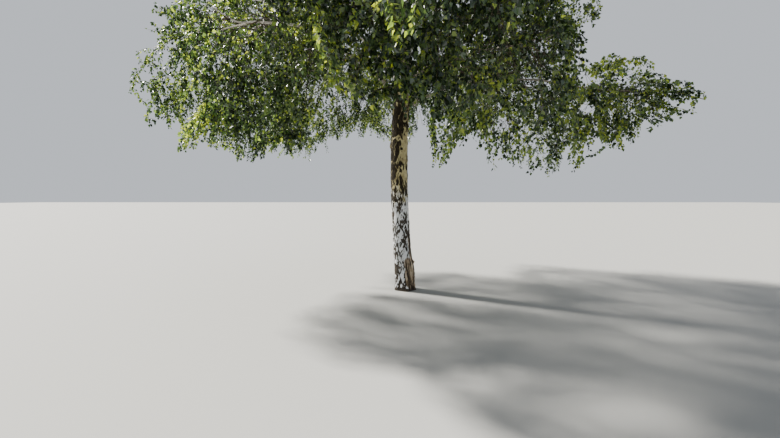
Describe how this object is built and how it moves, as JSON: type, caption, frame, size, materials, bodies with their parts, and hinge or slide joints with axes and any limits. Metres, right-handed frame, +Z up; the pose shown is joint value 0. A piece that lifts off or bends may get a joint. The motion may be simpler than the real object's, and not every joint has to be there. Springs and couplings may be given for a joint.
{
  "type": "silver birch tree",
  "caption": "Silver birch with a white, dark-fissured trunk, arching boughs and a broad crown of weeping foliage, in full summer leaf.",
  "frame": {"origin": "middle of the flat cut under the trunk, at ground level", "axes": "+Z up the trunk, +X towards the long low arm on the right of the picture's view, +Y away from the picture's viewer"},
  "size_m": [7.4092, 6.8749, 11],
  "materials": {
    "trunk_bark": "papery white bark with rough, dark, diamond-shaped fissures, rougher and darker at the foot",
    "bough_bark": "smooth grey-brown young bark with pale pores",
    "foliage": "thin green leaves with a faint sheen, paler and yellower where light comes through"
  },
  "bodies": {
    "root": {"bough_high_1": "bough_bark", "bough_high_2": "bough_bark", "bough_high_3": "bough_bark", "bough_high_4": "bough_bark", "bough_high_5": "bough_bark", "bough_middle_1": "bough_bark", "bough_middle_2": "bough_bark", "bough_middle_3": "bough_bark", "bough_middle_4": "bough_bark", "bough_middle_5": "bough_bark", "bough_middle_6": "bough_bark", "bough_right_arm": "bough_bark", "bough_skirt_back": "bough_bark", "bough_skirt_back_left": "bough_bark", "bough_skirt_back_right": "bough_bark", "bough_skirt_front": "bough_bark", "bough_skirt_front_left": "bough_bark", "bough_skirt_front_right": "bough_bark", "bough_skirt_left": "bough_bark", "bough_skirt_right": "bough_bark", "foliage_high_1": "foliage", "foliage_high_2": "foliage", "foliage_high_3": "foliage", "foliage_high_4": "foliage", "foliage_high_5": "foliage", "foliage_middle_1": "foliage", "foliage_middle_2": "foliage", "foliage_middle_3": "foliage", "foliage_middle_4": "foliage", "foliage_middle_5": "foliage", "foliage_middle_6": "foliage", "foliage_right_arm": "foliage", "foliage_skirt_back": "foliage", "foliage_skirt_back_left": "foliage", "foliage_skirt_back_right": "foliage", "foliage_skirt_front": "foliage", "foliage_skirt_front_left": "foliage", "foliage_skirt_front_right": "foliage", "foliage_skirt_left": "foliage", "foliage_skirt_right": "foliage", "foliage_top": "foliage", "trunk": "trunk_bark"}
  },
  "joints": []
}
